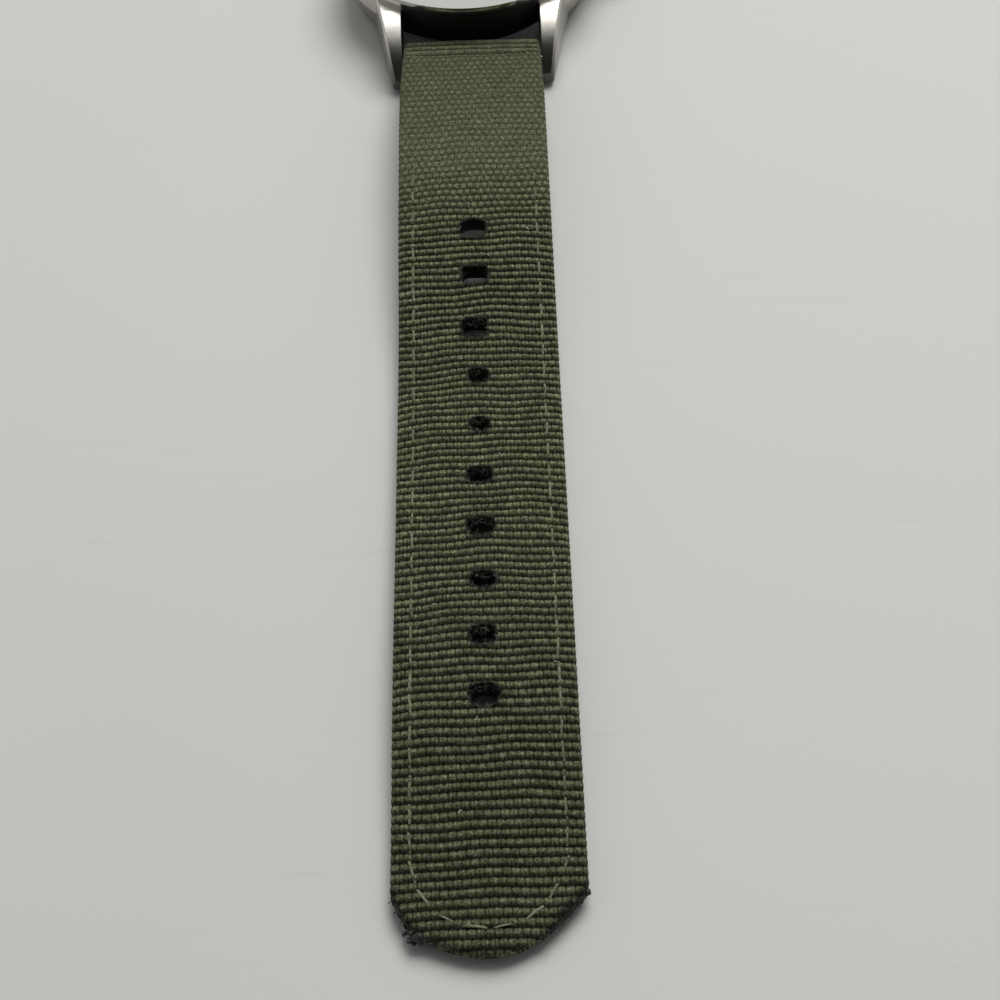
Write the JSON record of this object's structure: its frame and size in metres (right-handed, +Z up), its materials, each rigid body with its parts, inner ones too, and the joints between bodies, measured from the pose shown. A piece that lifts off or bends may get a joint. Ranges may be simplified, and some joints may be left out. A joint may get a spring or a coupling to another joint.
{
  "type": "field watch",
  "caption": "Field watch lying open: round steel case with flat glass, fluted crown and hand-wound movement, on a two-piece ribbed webbing strap with keepers and a pin buckle.",
  "frame": {"origin": "centre of the case back's outer face", "axes": "+Z up through the dial, +X to three o'clock and the crown, +Y to twelve o'clock and the buckle"},
  "size_m": [0.0388, 0.2457, 0.0101],
  "materials": {
    "case_steel": "bead-blasted",
    "polished_steel": "polished",
    "movement_plate": "brushed",
    "movement_brass": "polished",
    "spring_steel": "blued",
    "crystal_glass": "polished",
    "dial_paint": "matte",
    "hand_paint": "satin",
    "lume": "matte",
    "holder_plastic": "matte",
    "gasket_rubber": "matte",
    "olive_webbing": "ribbed canvas",
    "dark_lining": "smooth woven",
    "keeper_webbing": "woven"
  },
  "bodies": {
    "case": {"case_middle": "case_steel", "case_back": "case_steel", "case_back_gasket": "gasket_rubber", "bezel": "polished_steel", "crystal": "crystal_glass", "crystal_gasket": "gasket_rubber", "flange_ring": "polished_steel", "dial": "dial_paint", "movement_holder": "holder_plastic", "main_plate": "movement_plate", "train_bridge": "movement_plate", "barrel_bridge": "movement_plate", "balance_cock": "movement_plate", "pallet_bridge": "movement_plate", "bridge_screws": "movement_plate", "winding_screws": "movement_plate", "crown_tube": "movement_plate"},
    "seconds": {"fourth_wheel": "movement_brass", "seconds_hand": "hand_paint"},
    "minutes": {"centre_wheel": "movement_brass", "cannon_pinion": "movement_plate", "minute_hand": "hand_paint", "minute_hand_lume": "lume"},
    "hours": {"hour_wheel": "movement_brass", "hour_hand": "hand_paint", "hour_hand_lume": "lume"},
    "third": {"third_wheel": "movement_brass"},
    "escape": {"escape_wheel": "movement_brass"},
    "minute_wheel": {"minute_wheel": "movement_brass"},
    "barrel": {"barrel": "movement_brass", "mainspring": "spring_steel"},
    "lever": {"pallet_fork": "movement_plate"},
    "balance": {"balance_wheel": "movement_brass", "hairspring": "spring_steel"},
    "winding": {"winding_pinion": "movement_plate"},
    "crown": {"crown": "case_steel", "stem": "movement_plate", "crown_gasket": "gasket_rubber"},
    "clutch": {"clutch_wheel": "movement_plate"},
    "crown_wheel": {"crown_wheel": "movement_plate"},
    "ratchet": {"ratchet_wheel": "movement_plate", "barrel_arbor": "movement_plate"},
    "click": {"click": "movement_plate"},
    "tail_strap": {"tail_webbing": "olive_webbing", "tail_lining": "dark_lining", "tail_spring_bar_tube": "movement_plate"},
    "buckle_strap": {"buckle_webbing": "olive_webbing", "buckle_lining": "dark_lining", "head_spring_bar_tube": "movement_plate", "buckle_spring_bar_tube": "movement_plate", "fixed_keeper": "keeper_webbing"},
    "free_keeper": {"free_keeper": "keeper_webbing"},
    "buckle": {"buckle_frame": "case_steel"},
    "tongue": {"buckle_tongue": "case_steel"},
    "tail_pin_left": {"tail_spring_bar_pin_left": "movement_plate"},
    "tail_pin_right": {"tail_spring_bar_pin_right": "movement_plate"},
    "head_pin_left": {"head_spring_bar_pin_left": "movement_plate"},
    "head_pin_right": {"head_spring_bar_pin_right": "movement_plate"},
    "buckle_pin_left": {"buckle_spring_bar_pin_left": "movement_plate"},
    "buckle_pin_right": {"buckle_spring_bar_pin_right": "movement_plate"}
  },
  "joints": [
    {"name": "seconds_turn", "type": "hinge", "parent": "case", "child": "seconds", "pos_m": [0, 0, 0], "axis": [0, 0, 1], "continuous": true},
    {"name": "minute_turn", "type": "hinge", "parent": "case", "child": "minutes", "pos_m": [0, 0, 0], "axis": [0, 0, 1], "continuous": true},
    {"name": "hour_turn", "type": "hinge", "parent": "case", "child": "hours", "pos_m": [0, 0, 0], "axis": [0, 0, 1], "continuous": true},
    {"name": "third_turn", "type": "hinge", "parent": "case", "child": "third", "pos_m": [-0.00324, -0.00227, 0], "axis": [0, 0, 1], "continuous": true},
    {"name": "escape_turn", "type": "hinge", "parent": "case", "child": "escape", "pos_m": [0.00068, -0.00384, 0], "axis": [0, 0, 1], "continuous": true},
    {"name": "minute_wheel_turn", "type": "hinge", "parent": "case", "child": "minute_wheel", "pos_m": [0.00144, 0.00249, 0], "axis": [0, 0, 1], "continuous": true},
    {"name": "barrel_turn", "type": "hinge", "parent": "case", "child": "barrel", "pos_m": [0.00265, 0.00525, 0], "axis": [0, 0, 1], "continuous": true},
    {"name": "lever_rock", "type": "hinge", "parent": "case", "child": "lever", "pos_m": [0.00312, -0.00428, 0], "axis": [0, 0, 1], "range_deg": [-5, 5]},
    {"name": "balance_swing", "type": "hinge", "parent": "case", "child": "balance", "pos_m": [0.00613, -0.00482, 0], "axis": [0, 0, 1], "range_deg": [-135, 135], "stiffness_Nm_per_rad": 0.0000001},
    {"name": "winding_turn", "type": "hinge", "parent": "case", "child": "winding", "pos_m": [0, 0, 0.004], "axis": [1, 0, 0], "continuous": true},
    {"name": "crown_pull", "type": "slide", "parent": "winding", "child": "crown", "axis": [1, 0, 0], "range_m": [0, 0.0011]},
    {"name": "clutch_slide", "type": "slide", "parent": "winding", "child": "clutch", "axis": [1, 0, 0], "range_m": [-0.0007, 0]},
    {"name": "crown_wheel_turn", "type": "hinge", "parent": "case", "child": "crown_wheel", "pos_m": [0.00716, 0, 0], "axis": [0, 0, 1], "continuous": true},
    {"name": "ratchet_turn", "type": "hinge", "parent": "case", "child": "ratchet", "pos_m": [0.00265, 0.00525, 0], "axis": [0, 0, 1], "continuous": true},
    {"name": "click_rock", "type": "hinge", "parent": "case", "child": "click", "pos_m": [-0.00222, 0.00655, 0], "axis": [0, 0, 1], "range_deg": [0, 8], "stiffness_Nm_per_rad": 0.000002},
    {"name": "tail_strap_swing", "type": "hinge", "parent": "case", "child": "tail_strap", "pos_m": [0, -0.0204, 0.0024], "axis": [1, 0, 0], "range_deg": [-8, 80]},
    {"name": "buckle_strap_swing", "type": "hinge", "parent": "case", "child": "buckle_strap", "pos_m": [0, 0.0204, 0.0024], "axis": [1, 0, 0], "range_deg": [-80, 8]},
    {"name": "free_keeper_slide", "type": "slide", "parent": "buckle_strap", "child": "free_keeper", "axis": [0, 1, 0], "range_m": [-0.004, 0.002]},
    {"name": "buckle_swing", "type": "hinge", "parent": "buckle_strap", "child": "buckle", "pos_m": [0, 0.0924, 0.00175], "axis": [1, 0, 0], "range_deg": [-60, 30]},
    {"name": "tongue_swing", "type": "hinge", "parent": "buckle", "child": "tongue", "pos_m": [0, 0.0924, 0.00175], "axis": [1, 0, 0], "range_deg": [0, 105]},
    {"name": "tail_pin_left_push", "type": "slide", "parent": "tail_strap", "child": "tail_pin_left", "axis": [1, 0, 0], "range_m": [0, 0.0009], "stiffness_N_per_m": 0.4, "springref_m": -0.001},
    {"name": "tail_pin_right_push", "type": "slide", "parent": "tail_strap", "child": "tail_pin_right", "axis": [-1, 0, 0], "range_m": [0, 0.0009], "stiffness_N_per_m": 0.4, "springref_m": -0.001},
    {"name": "head_pin_left_push", "type": "slide", "parent": "buckle_strap", "child": "head_pin_left", "axis": [1, 0, 0], "range_m": [0, 0.0009], "stiffness_N_per_m": 0.4, "springref_m": -0.001},
    {"name": "head_pin_right_push", "type": "slide", "parent": "buckle_strap", "child": "head_pin_right", "axis": [-1, 0, 0], "range_m": [0, 0.0009], "stiffness_N_per_m": 0.4, "springref_m": -0.001},
    {"name": "buckle_pin_left_push", "type": "slide", "parent": "buckle_strap", "child": "buckle_pin_left", "axis": [1, 0, 0], "range_m": [0, 0.0009], "stiffness_N_per_m": 0.4, "springref_m": -0.001},
    {"name": "buckle_pin_right_push", "type": "slide", "parent": "buckle_strap", "child": "buckle_pin_right", "axis": [-1, 0, 0], "range_m": [0, 0.0009], "stiffness_N_per_m": 0.4, "springref_m": -0.001}
  ],
  "couplings": [
    {"joint": "third_turn", "follows": "seconds_turn", "ratio": -0.13333},
    {"joint": "minute_turn", "follows": "seconds_turn", "ratio": 0.016667},
    {"joint": "hour_turn", "follows": "seconds_turn", "ratio": 0.0013889},
    {"joint": "minute_wheel_turn", "follows": "seconds_turn", "ratio": -0.0055556},
    {"joint": "barrel_turn", "follows": "seconds_turn", "ratio": -0.0027778},
    {"joint": "escape_turn", "follows": "seconds_turn", "ratio": -10},
    {"joint": "crown_wheel_turn", "follows": "winding_turn", "ratio": 0.46154},
    {"joint": "ratchet_turn", "follows": "winding_turn", "ratio": -0.35294},
    {"joint": "clutch_slide", "follows": "crown_pull", "ratio": -0.63636}
  ]
}
